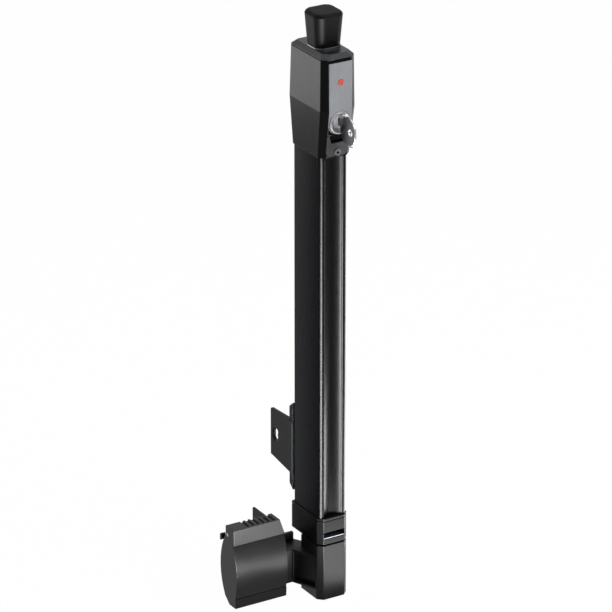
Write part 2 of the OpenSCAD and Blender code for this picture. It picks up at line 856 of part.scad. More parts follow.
module post_bracket() {
    color("#202123") difference() {
        union() {
            // Back plate with sloping top and bottom edges
            run_x(strip_left, tube_w/2) polygon([
                [0, -post_h/2 + 5], [0, post_h/2 - 5], [-back_t, post_h/2], [-back_t, -post_h/2]
            ]);
            // Rail that the tube's channel slides on
            translate([-slot_w/2 + loose, -back_t - lip_t - 0.6, -post_h/2 + 2])
                cube([slot_w - 2*loose, lip_t + 1, post_h - 4]);
            translate([-rail_w/2, -back_t - lip_t - 0.5 - rail_t, -post_h/2 + 2])
                cube([rail_w, rail_t, post_h - 4]);
            // Side leg against the post's flank
            run_x(strip_left, strip_left + leg_t) polygon([
                [-1, -leg_low - 2], [-1, leg_low], [leg_reach - 1.2, leg_low - 2],
                [leg_reach, leg_low - 3.2], [leg_reach, -leg_low + leg_drop]
            ]);
            // Raised band where the leg meets the plate
            translate([strip_left - 0.9, -back_t + 0.4, -leg_low - 1]) cube([1, back_t - 0.4, 2*leg_low]);
        }
        for (z = [-1, 1]) {
            translate([0, 0, z*screw_gap/2]) {
                bar_y(fix_r, -big, big);
                bar_y(5, -back_t - big, -back_t + 1.6);
            }
        }
        // Slotted hole in the side leg, countersunk on the outside
        for (z = [-2.5 : 2.5 : 2.5]) {
            translate([0, slot_hole_y, z]) bar_x(fix_r, strip_left - 5, strip_left + 9);
        }
        translate([0, slot_hole_y - fix_r, -2.5]) translate([strip_left - 5, 0, 0]) cube([14, 2*fix_r, 5]);
        translate([strip_left - eps, slot_hole_y, 0]) rotate([0, 90, 0]) {
            for (z = [-1, 1]) {
                translate([z*2.5, 0, 0]) cylinder(h = 1.4, r1 = 5.4, r2 = fix_r);
            }
        }
    }
}
slot_hole_y = leg_reach - 8.4;

/* Gate bracket and striker */

pivot_y = -13.4;
pivot_z = block_top + 14.4;
cover_top = pivot_z + cover_rise;
cover_bot = cover_top - cover_h;
cover_mid = (cover_top - 17 + cover_bot)/2;
front_flat = -25.4;
bulge = 4.9;
plinth_h = 9.4;
scoop_top = cover_top - 15.8;
scoop_h = 6.9;
scoop_d = 2;
// The cover's right end leans in over the height of the flap
lean = 5.6;
lean_h = 16;
plate_z0 = cover_bot + 9;
plate_z1 = pivot_z - 6;
fin_x = cover_right - 0.4;
base_t = 3.6;
washer_t = 1;
adjust_x = 14;
adjust_mid_x = (cover_left + cover_right)/2 - 1.4;
adjust_z = (plate_z0 + plate_z1)/2 - 4;
gate_hole_gap = 30;

module gate_bracket() {
    color("#26282a") difference() {
        union() {
            translate([cover_left + 6, -gate_t, plate_z0]) cube([fin_x - cover_left - 6, gate_t, plate_z1 - plate_z0]);
            // Fin beside the gate's stile
            run_x(fin_x - gate_t, fin_x) polygon([
                [-gate_t, plate_z0], [fin_reach - 2, plate_z0], [fin_reach, plate_z0 + 2],
                [fin_reach, pivot_z - 2.6], [4, pivot_z - 2.6], [-gate_t, plate_z1]
            ]);
        }
        for (x = [-1, 1]) {
            translate([adjust_mid_x + x*adjust_x, 0, adjust_z]) bar_y(2, -10, 10);
        }
        for (z = [-1, 1]) {
            translate([0, fin_reach - 9, (plate_z0 + plate_z1)/2 + z*gate_hole_gap/2])
                bar_x(fix_r, fin_x - 10, fin_x + 10);
        }
    }
}

module at_adjusters() {
    for (x = [-1, 1]) {
        translate([adjust_mid_x + x*adjust_x, 0, adjust_z]) children();
    }
}

module adjust_screws() {
    color("silver") at_adjusters() difference() {
        union() {
            bar_y(1.95, -gate_t - base_t - 0.4 - washer_t, 0);
            bar_y(4, -gate_t - base_t - 0.4 - washer_t - 2.4, -gate_t - base_t - 0.4 - washer_t);
        }
        translate([0, -gate_t - base_t - washer_t - 1.6, 0]) rotate([90, 0, 0]) cylinder(h = 5, r = 1.8, $fn = 6);
    }
}

module adjust_washers() {
    color("lightgray") at_adjusters() difference() {
        bar_y(5, -gate_t - base_t - 0.4 - washer_t, -gate_t - base_t - 0.4);
        bar_y(2, -20, 5);
    }
}

block_half = cuff_half;
arm_top = block_top - 11.5;
arm_bot = block_bot + 9.5;
arm_x = -26.4;
arm_y = tube_y + 4.5;

module striker_housing() {
    color("#222426") difference() {
        union() {
            // Block under the cuff
            in_tube() {
                prism(block_bot, block_top) chamfered_plan(block_half, cuff_front, block_back, 2);
            }
            // Arm with a slanting flank
            prism(arm_bot, arm_top) polygon([
                [-block_half, tube_y - cuff_front + corner + 0.4], [arm_x, arm_y], [cover_right + 0.4, arm_y],
                [cover_right + 0.4, -gate_t - 0.2], [-14, -gate_t - 3], [-5, tube_y + block_back - 1],
                [-5, tube_y]
            ]);
            // Base plate behind the cover, with a tail that backs the arm
            translate([ear_left, -gate_t - 0.2 - base_t, plate_z0])
                cube([cover_right + 0.4 - ear_left + 1, base_t, plate_z1 - plate_z0 - 2]);
            translate([cover_right - 3, -gate_t - 0.2 - base_t, arm_bot + 4])
                cube([tail_right - cover_right + 3, base_t, tail_top - arm_bot - 4]);
            // Stop at the far end
            translate([cover_left - 1.4, -gate_t - 0.2 - stop_t, plate_z1 - 3]) cube([5.6, stop_t, 6.6]);
            // Ears for the pivot pins
            for (x = [ear_left, ear_right]) {
                run_x(x, x + ear_t) union() {
                    translate([pivot_y, pivot_z]) circle(4.2);
                    polygon([
                        [pivot_y - 3, pivot_z], [pivot_y + 3, pivot_z], [pivot_y + 3, plate_z1 - 6],
                        [-gate_t - 1, plate_z1 - 6], [-gate_t - 1, plate_z1 - 13], [pivot_y - 3, plate_z1 - 13]
                    ]);
                }
            }
        }
        for (x = [ear_left, ear_right]) {
            translate([x, pivot_y, pivot_z]) bar_x(pivot_r + 0.02, -1, ear_t + 1);
        }
        // Shallow panel in the arm's flank
        translate([-block_half, tube_y - cuff_front + corner + 0.4, 0])
            rotate([0, 0, atan2(arm_y - tube_y + cuff_front - corner - 0.4, arm_x + block_half)])
                translate([1.6, -5, arm_bot + 2.4]) cube([flank_len - 3.2, 5 + panel_t, arm_top - arm_bot - 4.8]);
        // Slots for the sideways adjustment
        at_adjusters() {
            for (x = [-1, 1]) {
                translate([x*adjust, 0, 0]) bar_y(2.2, -20, 0);
            }
            translate([-adjust, -20, -2.2]) cube([2*adjust, 20, 4.4]);
        }
        // Bore of the latch pin, wider for its spring and guide
        on_lift() {
            translate([0, 0, block_bot - 1]) cylinder(h = block_h + 2, r = bore_r);
            translate([0, 0, block_top - guide_h]) cylinder(h = guide_h + 1, r = guide_r);
            translate([0, 0, block_bot - 1]) cylinder(h = plug_h + 1, r = guide_r);
        }
    }
}
flank_len = norm([arm_x + block_half, arm_y - tube_y + cuff_front - corner - 0.4]);
panel_t = 0.7;
tail_right = -14;
tail_top = block_top - 4.4;
stop_t = 1;
ear_t = 3;
ear_left = cover_left + cover_t + 0.5;
ear_right = cover_right - cover_t - 0.5 - ear_t - lean*(1 - (cover_rise - 4.2)/lean_h);
pivot_r = 1.8;
bore_r = 6.6;
guide_r = 7.6;
guide_h = 6;
plug_h = 3;

// Side view of the cover: a flat flap above a barrel, and a convex back
front_span = cover_h - 17 - 6;
front_radius = (pow(front_span/2, 2) + pow(bulge, 2))/(2*bulge);
back_span = cover_h - 15;
back_bulge = 9;
back_radius = (pow(back_span/2, 2) + pow(back_bulge, 2))/(2*back_bulge);
module cover_side(inset) {
    intersection() {
        union() {
            translate([front_flat + inset, cover_top - 17]) square([30, 17 - inset]);
            intersection() {
                translate([front_flat - bulge + front_radius, cover_mid]) circle(front_radius - inset, $fn = 160);
                translate([-40, cover_bot + 4 + inset]) square([60, cover_h - 21 - inset]);
            }
        }
        union() {
            translate([-0.6 - back_radius, (cover_top - 5 + cover_bot)/2]) circle(back_radius - inset, $fn = 160);
            translate([-40, pivot_z - 6]) square([40 - 10.4 - inset, 20]);
        }
        cover_under(inset);
    }
}

// The cover's slanting underside
module cover_under(inset) {
    polygon([
        [-40, cover_bot + inset], [front_flat + 9.3 - inset, cover_bot + inset], [-11.2 - inset, cover_bot + 4.4 + inset],
        [0, cover_bot + 13], [0, cover_top], [-40, cover_top]
    ]);
}

// Band round the cover's foot, a little proud at the front
module plinth_side(inset) {
    intersection() {
        polygon([
            [front_flat - 2.2 + inset, cover_bot], [front_flat - 2.8 + inset, cover_bot + plinth_h - inset],
            [-8, cover_bot + plinth_h - inset], [-8, cover_bot]
        ]);
        cover_under(inset);
    }
}

// Front view of the cover, with its leaning right end
module cover_front(inset) {
    polygon([
        [cover_left - 1, cover_bot - 1], [cover_right - inset, cover_bot - 1],
        [cover_right - inset, cover_top - lean_h], [cover_right - lean - inset, cover_top],
        [cover_right - lean - inset, cover_top + 20], [cover_left - 1, cover_top + 20]
    ]);
}

grip_count = 6;
grip_pitch = 5.3;
grip_d = 1.3;
module striker_cover() {
    color("#36383b") difference() {
        intersection() {
            union() {
                run_x(cover_left, cover_right) cover_side(0);
                run_x(cover_left, cover_right) plinth_side(0);
            }
            run_y(-60, 10) cover_front(0);
        }
        // Hollow behind, open to the gate, with a thicker wall behind the scoop
        intersection() {
            run_x(cover_left + cover_t, cover_right - cover_t) difference() {
                union() {
                    cover_side(cover_t);
                    plinth_side(cover_t);
                    translate([-18, cover_bot + 3]) square([30, cover_h - cover_t - 3]);
                }
                translate([-60, scoop_top - scoop_h - 1]) square([60 + front_flat + scoop_d + cover_t, scoop_h + 3]);
            }
            run_y(-60, 20) cover_front(cover_t);
        }
        // Scoop under the flap, deeper at the left, where fingers lift the cover
        intersection() {
            run_y(-60, 0) polygon([
                [cover_left - 1, scoop_top], [cover_left - 1, scoop_top - scoop_h], [cover_left + 44, scoop_top - 1.4],
                [cover_right + 1, scoop_top - 1.2], [cover_right + 1, scoop_top]
            ]);
            run_x(cover_left - 1, cover_right + 1) polygon([
                [-60, scoop_top], [front_flat + scoop_d, scoop_top], [front_flat - 2.2, scoop_top - scoop_h],
                [-60, scoop_top - scoop_h]
            ]);
        }
        // Grip ribs in the top
        for (i = [0 : grip_count - 1]) {
            translate([cover_left + 15 + grip_pitch*i, front_flat + 1.8, cover_top - grip_d])
                cube([grip_pitch - 2.6, big, 4]);
        }
        // Relief for the arm and its base plate
        translate([cover_right - cover_t - 1, -gate_t - base_t - 0.8, plate_z0 - 1]) cube([10, 20, plate_z1 - plate_z0]);
        translate([0, pivot_y, pivot_z]) bar_x(pivot_r + run, cover_left - 5, cover_right + 5);
    }
}

module cover_pins() {
    color("silver") translate([0, pivot_y, pivot_z]) {
        bar_x(pivot_r, cover_left + 0.4, ear_left + ear_t);
        bar_x(pivot_r, ear_right, cover_right - lean*(1 - cover_rise/lean_h) - 0.9);
    }
}

/* Latch pin */

pin_top = block_top - 0.4;
pin_flange = 2.5;
pin_chamfer = 1;
module latch_pin() {
    color("lightgray") on_lift() {
        translate([0, 0, block_bot + plug_h + 0.2]) cylinder(h = pin_flange, r = bore_r - run);
        prism(block_bot + plug_h + 1, pin_top - pin_chamfer) circle(pin_r);
        translate([0, 0, pin_top - pin_chamfer]) cylinder(h = pin_chamfer, r1 = pin_r, r2 = pin_r - pin_chamfer);
    }
}

module pin_spring() {
    spring_low = block_bot + plug_h + 0.2 + pin_flange;
    color("silver") on_lift() coil(spring_low + 0.1, 5.4, 0.55, block_top - guide_h - spring_low - 0.2, 9);
}

module pin_guide() {
    color("#e4e4e0") on_lift() difference() {
        translate([0, 0, block_top - guide_h + 0.05]) cylinder(h = guide_h - 0.05, r = guide_r - 0.05);
        translate([0, 0, block_top - guide_h - 1]) cylinder(h = guide_h + 2, r = pin_r + run);
    }
}

module pin_plug() {
    color("#2a2c2e") on_lift() difference() {
        translate([0, 0, block_bot]) cylinder(h = plug_h - 0.05, r = guide_r - 0.05);
        translate([-4.5, -0.7, block_bot - 1]) cube([9, 1.4, 2]);
    }
}

body_tube();
lower_cuff();
cuff_screws();
pin_socket();
head_shell();
head_cap();
head_screw();
faceplate();
chin_plate();
indicator_lens();
indicator_flag();
head_chassis();
chassis_screws();
lock_body();
lock_bezel();
lock_nut();
lock_plug();
lock_cam();
cam_screw();
lock_slide();
key();
key_ring();
knob();
knob_collar();
knob_pin();
lift_rod();
spring_clip();
return_spring();
rod_guide_upper();
rod_guide_lower();
magnet_carrier();
lift_magnet();
carrier_nut();
post_bracket();
gate_bracket();
adjust_screws();
adjust_washers();
striker_housing();
striker_cover();
cover_pins();
latch_pin();
pin_spring();
pin_guide();
pin_plug();
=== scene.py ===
"""Looks of a magnetic gate latch: a lift knob on a tall tube, a lock, and a striker with a hinged cover."""

import json
import math

import bmesh
import bpy
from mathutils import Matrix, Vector


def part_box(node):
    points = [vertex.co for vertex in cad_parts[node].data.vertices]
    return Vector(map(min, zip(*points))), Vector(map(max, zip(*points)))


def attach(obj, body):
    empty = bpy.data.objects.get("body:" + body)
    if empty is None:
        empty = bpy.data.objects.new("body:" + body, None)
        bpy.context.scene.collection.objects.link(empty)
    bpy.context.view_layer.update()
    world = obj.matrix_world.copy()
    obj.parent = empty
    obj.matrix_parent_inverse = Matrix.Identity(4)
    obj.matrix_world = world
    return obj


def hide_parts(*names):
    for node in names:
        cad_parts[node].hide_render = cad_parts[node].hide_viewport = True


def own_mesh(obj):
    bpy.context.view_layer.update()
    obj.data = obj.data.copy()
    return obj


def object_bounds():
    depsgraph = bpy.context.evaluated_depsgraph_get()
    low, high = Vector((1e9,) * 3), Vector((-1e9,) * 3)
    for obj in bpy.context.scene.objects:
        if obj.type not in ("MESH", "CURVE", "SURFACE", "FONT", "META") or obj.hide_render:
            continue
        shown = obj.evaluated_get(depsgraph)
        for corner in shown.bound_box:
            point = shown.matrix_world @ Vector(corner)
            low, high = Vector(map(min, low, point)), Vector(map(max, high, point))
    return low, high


bl_info = {
    "name": "Gate latch",
    "version": (1, 0, 0),
    "blender": (4, 5, 0),
    "location": "View3D > Sidebar > Gate latch",
    "description": "Finishes for a tall pool gate latch, with its striker and key",
    "category": "Object",
}

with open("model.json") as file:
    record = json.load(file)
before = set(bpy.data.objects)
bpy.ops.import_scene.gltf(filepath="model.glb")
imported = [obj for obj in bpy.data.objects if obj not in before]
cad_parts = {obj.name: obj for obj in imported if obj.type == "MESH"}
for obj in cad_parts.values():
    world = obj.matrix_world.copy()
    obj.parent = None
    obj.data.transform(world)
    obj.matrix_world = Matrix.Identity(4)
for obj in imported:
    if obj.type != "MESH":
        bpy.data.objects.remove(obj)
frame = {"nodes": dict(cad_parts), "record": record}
CAD_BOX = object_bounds()
NODES = frame["nodes"]
BODY_OF = {n: b for b, ns in frame["record"]["behaviour"]["bodies"].items() for n in ns}
MM = 0.001

# Points closer than this many metres are one, and so are faces within this many degrees of each other
MERGED_WITHIN, FLAT_WITHIN = 2e-6, 0.4
# Edges: the setting at which the widths given to dress() hold, the least turn in degrees that is eased,
# and the shortest edge that is eased, in widths
USUAL_EDGE = 0.0005
EASED_FROM = 28
SHORTEST_EASED = 0.6
# The turn in degrees past which a coil's edges stay sharp, and the least X of a normal on the key's flats
COIL_CREASE = 50
KEY_FLAT = 0.8

# The tube's front in millimetres and degrees, in the tube's own section. The solid has a bead at each corner
# and a hollow between them. The finished piece has a rolled corner with a tighter lip, and a narrower hollow.
TUBE_Y = -28.9
BEAD_X, BEAD_Y, BEAD_RADIUS, BEAD_SWEEP = 12.3, -18.3, 2, 170
HOLLOW_Y, HOLLOW_RADIUS, HOLLOW_TURN, HOLLOW_BACK = -35.6, 19.85, 31.4, -15.7
ON_ARC = 0.03
ROLL_X, ROLL_FRONT, ROLL_SWEEP = 10.3, -23.3, 155
CORNER_RADIUS, LIP_RADIUS = 4, 2
NEW_HOLLOW_Y, NEW_HOLLOW_RADIUS, NEW_HOLLOW_TURN = -37.45, 17.5, 29

# The tube's sides, in metres along Y: their back edge, their front edge, how far in front of it the corner
# starts, and the depth in which the corner takes on the look of the front
SIDE_BACK, SIDE_FRONT, CORNER_START, CORNER_DEPTH = -0.01, -0.047, 0.0007, 0.001
# How far their normals lean forward, their share of the front's gloss, and how many times paler each edge's
# colour is painted: a painted reflection that stands in for the sheen of the sides
SIDE_BOW, SIDE_GLOSS = 0.17, 0.2
REFLECTION_PAINT_BACK, REFLECTION_PAINT_FRONT = 36, 13

# The split ring: the radius of its wire, its rise over all the turns, how far the wire's middle lies inside
# the solid ring, and the share of the rise that is left when the turns are pressed together
RING_WIRE, RING_RISE, RING_INSET = 0.42 * MM, 0.9 * MM, 0.8 * MM
RING_PRESSED = math.cos(math.radians(12))

# The camera: the picture's size, the focal length and the tube's distance right of the middle in pixels, the
# scale at the tube, and the point of the tube that is level with the picture's middle
PICTURE_PX, FOCAL_PX, RIGHT_PX, PX_PER_MM = 612, 4300, 14, 1.12
TUBE_MIDDLE = Vector((0, -0.0289, 0.144))

# The stage: the floor's gap under the latch, its reach, the share of plain white in what is seen of it, the
# strength of the world's light, and the point that the lamps face
FLOOR_GAP, FLOOR_REACH, FLOOR_WHITE = 0.0008, 30, 0.985
WORLD_FILL = 0.22
LIT_POINT = Vector((0, -0.03, 0.15))
# Name, direction, distance, width, depth and power of each lamp
LAMPS = (
    ("key lamp", (0.45, -0.9, 0.9), 1.6, 0.8, 1.0, 17),
    ("rear lamp", (-0.7, 0.9, 0.7), 1.4, 0.5, 1.0, 4),
    ("top lamp", (0.25, 0.1, 1.0), 1.3, 1.2, 1.2, 10),
)
# Low panels that face up and are met by the reflections of upright faces: their height over the latch's
# foot, the point they lead away from, and about how many times further each one reaches than the last
PANEL_GAP = 0.002
PANELS_FROM = Vector((0, -0.04, 0))
PANEL_GROWTH = 1.5
# Name, turn in degrees, nearest and furthest reach, half angle in degrees, and radiance of each run
PANEL_RUNS = (
    ("front run", -25, 0.13, 1.05, 11, 155),
    ("front foot", 15, 0.04, 0.2, 30, 12),
    ("right run", 88, 0.4, 1.35, 4, 25),
    ("right foot", 80, 0.14, 0.4, 14, 40),
    ("rear run", -149, 1.25, 2.4, 20, 7),
)


# Shader building blocks


def new_material(name):
    """A material with a principled shader alone, its tree and the shader."""
    mat = bpy.data.materials.new(name)
    mat.use_nodes = True
    tree = mat.node_tree
    tree.nodes.clear()
    out = tree.nodes.new("ShaderNodeOutputMaterial")
    shader = tree.nodes.new("ShaderNodeBsdfPrincipled")
    tree.links.new(shader.outputs["BSDF"], out.inputs["Surface"])
    return mat, tree, shader


def object_coordinates(tree, scale=(1, 1, 1)):
    """Object coordinates, stretched by a mapping."""
    where = tree.nodes.new("ShaderNodeTexCoord")
    mapping = tree.nodes.new("ShaderNodeMapping")
    mapping.inputs["Scale"].default_value = scale
    tree.links.new(where.outputs["Object"], mapping.inputs["Vector"])
    return mapping.outputs["Vector"]


def object_depth(tree):
    """The Y of the object coordinates."""
    where = tree.nodes.new("ShaderNodeTexCoord")
    parts = tree.nodes.new("ShaderNodeSeparateXYZ")
    tree.links.new(where.outputs["Object"], parts.inputs["Vector"])
    return parts.outputs["Y"]


def noise(tree, vector, scale, detail=3.0, roughness=0.55):
    """A noise value on the given coordinates."""
    node = tree.nodes.new("ShaderNodeTexNoise")
    node.inputs["Scale"].default_value = scale
    node.inputs["Detail"].default_value = detail
    node.inputs["Roughness"].default_value = roughness
    tree.links.new(vector, node.inputs["Vector"])
    return node.outputs["Fac"]


def spread(tree, value, low, high, floor=0.3, ceiling=0.7):
    """A value mapped from floor..ceiling to low..high."""
    node = tree.nodes.new("ShaderNodeMapRange")
    node.inputs["From Min"].default_value = floor
    node.inputs["From Max"].default_value = ceiling
    node.inputs["To Min"].default_value = low
    node.inputs["To Max"].default_value = high
    tree.links.new(value, node.inputs["Value"])
    return node.outputs["Result"]


def two_tones(tree, value, dark, light):
    """A colour that runs from dark to light with a value."""
    node = tree.nodes.new("ShaderNodeMix")
    node.data_type = "RGBA"
    tree.links.new(spread(tree, value, 0.0, 1.0, 0.35, 0.65), node.inputs["Factor"])
    node.inputs["A"].default_value = (*dark, 1)
    node.inputs["B"].default_value = (*light, 1)
    return node.outputs["Result"]


def relief(tree, value, strength, distance, under=None):
    """A bump from a value, with its depth in metres, over other normals where they are given."""
    node = tree.nodes.new("ShaderNodeBump")
    node.inputs["Strength"].default_value = strength
    node.inputs["Distance"].default_value = distance
    tree.links.new(value, node.inputs["Height"])
    if under:
        tree.links.new(under, node.inputs["Normal"])
    return node.outputs["Normal"]


def shaded(value, gain):
    """A colour made lighter or darker by a gain."""
    return tuple(min(1.0, c * gain) for c in value)


# Finishes


def moulded_plastic(name, colour, rough, grain, specular=0.5):
    """Moulded plastic: a fine spark-eroded grain, slight flow mottling, and roughness that wanders."""
    mat, tree, shader = new_material(name)
    place = object_coordinates(tree)
    mottle = noise(tree, place, 60, 4)
    tones = two_tones(tree, mottle, shaded(colour, 0.9), shaded(colour, 1.1))
    tree.links.new(tones, shader.inputs["Base Color"])
    handled = noise(tree, place, 140, 5)
    tree.links.new(spread(tree, handled, rough * 0.95, rough * 1.06), shader.inputs["Roughness"])
    fine = noise(tree, place, 2600, 2, 0.6)
    tree.links.new(relief(tree, fine, 0.5, grain), shader.inputs["Normal"])
    shader.inputs["Specular IOR Level"].default_value = specular
    return mat


def powder_coat(name, colour, rough, specular, along=(1, 1, 0.08), bowed_painted_reflection=False):
    """Powder-coated metal: a low orange-peel ripple, and faint draw lines along the extrusion."""
    mat, tree, shader = new_material(name)
    lines = noise(tree, object_coordinates(tree, along), 900, 3)
    peel = noise(tree, object_coordinates(tree), 420, 2)
    tones = two_tones(tree, lines, shaded(colour, 0.85), shaded(colour, 1.18))
    tree.links.new(tones, shader.inputs["Base Color"])
    tree.links.new(spread(tree, lines, rough * 0.9, rough * 1.12), shader.inputs["Roughness"])
    under = bowed_sides(tree) if bowed_painted_reflection else None
    tree.links.new(relief(tree, peel, 0.3, 0.00002, under), shader.inputs["Normal"])
    shader.inputs["Specular IOR Level"].default_value = specular
    # Bowed sides also get a painted reflection in their colour.
    if bowed_painted_reflection:
        dull_sides_painted_reflection(tree, shader, tones, specular)
    return mat


def bowed_sides(tree):
    """Normals of sides that bow out a little: they turn forward from the back edge to the front edge."""
    push = tree.nodes.new("ShaderNodeCombineXYZ")
    lean = spread(tree, object_depth(tree), 0.0, -SIDE_BOW, SIDE_BACK, SIDE_FRONT)
    tree.links.new(lean, push.inputs["Y"])
    skin = tree.nodes.new("ShaderNodeNewGeometry")
    add = tree.nodes.new("ShaderNodeVectorMath")
    add.operation = "ADD"
    tree.links.new(skin.outputs["Normal"], add.inputs[0])
    tree.links.new(push.outputs["Vector"], add.inputs[1])
    unit = tree.nodes.new("ShaderNodeVectorMath")
    unit.operation = "NORMALIZE"
    tree.links.new(add.outputs["Vector"], unit.inputs[0])
    return unit.outputs["Vector"]


def dull_sides_painted_reflection(tree, shader, tones, specular):
    """Makes the sides duller than the front, and paints their colour paler, palest at the back edge: a
    painted reflection in place of the sheen they pick up.
    """
    depth = object_depth(tree)
    corner = SIDE_FRONT - CORNER_START
    front = corner - CORNER_DEPTH
    gloss = spread(tree, depth, specular * SIDE_GLOSS, specular, corner, front)
    tree.links.new(gloss, shader.inputs["Specular IOR Level"])
    # Painted reflection: the sides' colour is raised to stand in for the sheen they reflect.
    painted_reflection = tree.nodes.new("ShaderNodeMath")
    painted_reflection.operation = "MULTIPLY_ADD"
    gain = spread(tree, depth, REFLECTION_PAINT_BACK, REFLECTION_PAINT_FRONT, SIDE_BACK, SIDE_FRONT)
    tree.links.new(gain, painted_reflection.inputs[0])
    tree.links.new(spread(tree, depth, 1, 0, corner, front), painted_reflection.inputs[1])
    painted_reflection.inputs[2].default_value = 1
    scale = tree.nodes.new("ShaderNodeVectorMath")
    scale.operation = "SCALE"
    tree.links.new(tones, scale.inputs[0])
    tree.links.new(painted_reflection.outputs["Value"], scale.inputs["Scale"])
    tree.links.new(scale.outputs["Vector"], shader.inputs["Base Color"])


def brushed_metal(name, colour, rough, stretch, depth=0.000012, metallic=1.0, specular=0.5):
    """Metal with hairlines drawn out along one direction."""
    mat, tree, shader = new_material(name)
    shader.inputs["Specular IOR Level"].default_value = specular
    hairs = noise(tree, object_coordinates(tree, stretch), 2400, 4, 0.65)
    blush = noise(tree, object_coordinates(tree), 45, 3)
    tones = two_tones(tree, hairs, shaded(colour, 0.86), shaded(colour, 1.1))
    tree.links.new(tones, shader.inputs["Base Color"])
    tree.links.new(spread(tree, blush, rough * 0.85, rough * 1.2), shader.inputs["Roughness"])
    tree.links.new(relief(tree, hairs, 0.4, depth), shader.inputs["Normal"])
    shader.inputs["Metallic"].default_value = metallic
    return mat


def trim_metal(name, colour, along):
    """A flat plate with a metallic paint, brushed upright."""
    return brushed_metal(name, colour, 0.5, (1, 1, along), depth=0.000008, metallic=0.0, specular=0.05)


def bright_plating(name, colour, rough):
    """Plated metal, polished, with hair-fine handling marks."""
    mat, tree, shader = new_material(name)
    marks = noise(tree, object_coordinates(tree, (1, 0.2, 1)), 1800, 5, 0.7)
    cloud = noise(tree, object_coordinates(tree), 120, 3)
    tree.links.new(two_tones(tree, cloud, shaded(colour, 0.93), colour), shader.inputs["Base Color"])
    tree.links.new(spread(tree, marks, rough * 0.7, rough * 1.5), shader.inputs["Roughness"])
    tree.links.new(relief(tree, marks, 0.15, 0.000008), shader.inputs["Normal"])
    shader.inputs["Metallic"].default_value = 1.0
    return mat


def clear_red(name, colour):
    """The red of the status window: saturated plastic under a clear lens, with a faint painted glow though it
    is no lamp.
    """
    mat, tree, shader = new_material(name)
    cloud = noise(tree, object_coordinates(tree), 300, 2)
    tree.links.new(two_tones(tree, cloud, shaded(colour, 0.85), colour), shader.inputs["Base Color"])
    tree.links.new(spread(tree, cloud, 0.2, 0.3), shader.inputs["Roughness"])
    shader.inputs["Coat Weight"].default_value = 0.8
    shader.inputs["Coat Roughness"].default_value = 0.05
    # A faint painted glow: the window is no lamp.
    shader.inputs["Emission Color"].default_value = (*colour, 1)
    shader.inputs["Emission Strength"].default_value = 0.05
    return mat


def make_finishes(s):
    """Every finish of the latch, by name."""
    black = tuple(s.black)
    silver = tuple(s.silver)
    made = (
        moulded_plastic("knob black", shaded(black, 0.3), 0.52, 0.000002, 0.048),
        moulded_plastic("head black", shaded(black, 0.2), 0.2, 0.000002, 0.048),
        moulded_plastic("cap black", (0.008, 0.009, 0.0115), 0.3, 0.000002, 0.2),
        powder_coat("tube enamel", shaded(black, 0.12), 0.3, 0.06, bowed_painted_reflection=True),
        moulded_plastic("cuff plastic", shaded(black, 0.35), 0.32, 0.000003, 0.085),
        moulded_plastic("block plastic", shaded(black, 0.6), 0.34, 0.000004, 0.12),
        moulded_plastic("cover plastic", shaded(black, 0.9), 0.32, 0.000004, 0.15),
        powder_coat("bracket coat", shaded(black, 0.35), 0.36, 0.08, (1, 1, 1)),
        trim_metal("silver plate", shaded(silver, 0.74), 0.03),
        # The chin plate wears the faceplate's paint; this far darker copy is painted shade, for the lip that
        # tilts down and back.
        trim_metal("chin plate painted shade", shaded(silver, 0.15), 0.05),
        bright_plating("bright chrome", (0.3, 0.3, 0.32), 0.35),
        brushed_metal("lock zinc", (0.24, 0.24, 0.25), 0.5, (1, 1, 1), 0.000006, metallic=0.15, specular=0.1),
        bright_plating("key nickel", (0.25, 0.25, 0.26), 0.28),
        # A dark copy of the key's nickel for its flat sides: a painted dark reflection.
        bright_plating("key face painted dark", (0.035, 0.035, 0.038), 0.3),
        brushed_metal("turned steel", (0.52, 0.52, 0.53), 0.28, (1, 1, 8)),
        brushed_metal("socket steel", (0.2, 0.22, 0.25), 0.4, (1, 1, 4)),
        brushed_metal("dark steel", (0.1, 0.1, 0.105), 0.34, (1, 1, 4)),
        brushed_metal("spring wire", (0.42, 0.42, 0.43), 0.3, (1, 1, 1)),
        bright_plating("magnet nickel", (0.6, 0.6, 0.62), 0.18),
        moulded_plastic("white slider", (0.72, 0.72, 0.69), 0.45, 0.00001),
        clear_red("window red", tuple(s.signal_red)),
    )
    return {mat.name: mat for mat in made}


NODES_BY_FINISH = {
    "knob black": ("knob",),
    "head black": ("head_shell",),
    "cap black": ("head_cap",),
    "tube enamel": ("body_tube",),
    "cuff plastic": ("lower_cuff", "head_chassis", "magnet_carrier", "pin_plug"),
    "block plastic": ("striker_housing",),
    "cover plastic": ("striker_cover",),
    "bracket coat": ("post_bracket", "gate_bracket"),
    "silver plate": ("faceplate",),
    "chin plate painted shade": ("chin_plate",),
    "bright chrome": ("key_ring",),
    "lock zinc": ("lock_bezel", "lock_plug"),
    "key nickel": ("key",),
    "turned steel": (
        "cuff_screws", "chassis_screws", "adjust_screws", "adjust_washers", "lock_body", "lock_nut",
        "lock_cam", "lock_slide", "knob_pin", "lift_rod", "carrier_nut", "cover_pins", "latch_pin",
    ),
    "socket steel": ("pin_socket",),
    "dark steel": ("head_screw", "cam_screw", "knob_collar", "spring_clip"),
    "spring wire": ("return_spring", "pin_spring"),
    "magnet nickel": ("lift_magnet",),
    "white slider": ("rod_guide_upper", "rod_guide_lower", "pin_guide"),
    "window red": ("indicator_lens", "indicator_flag"),
}
FINISH_OF = {node: finish for finish, nodes in NODES_BY_FINISH.items() for node in nodes}

finishes = {}


# Mesh building blocks


def put_in_scene(data, name):
    """An object for a mesh, lamp or camera, at the origin."""
    piece = bpy.data.objects.new(name, data)
    bpy.context.scene.collection.objects.link(piece)
    return piece


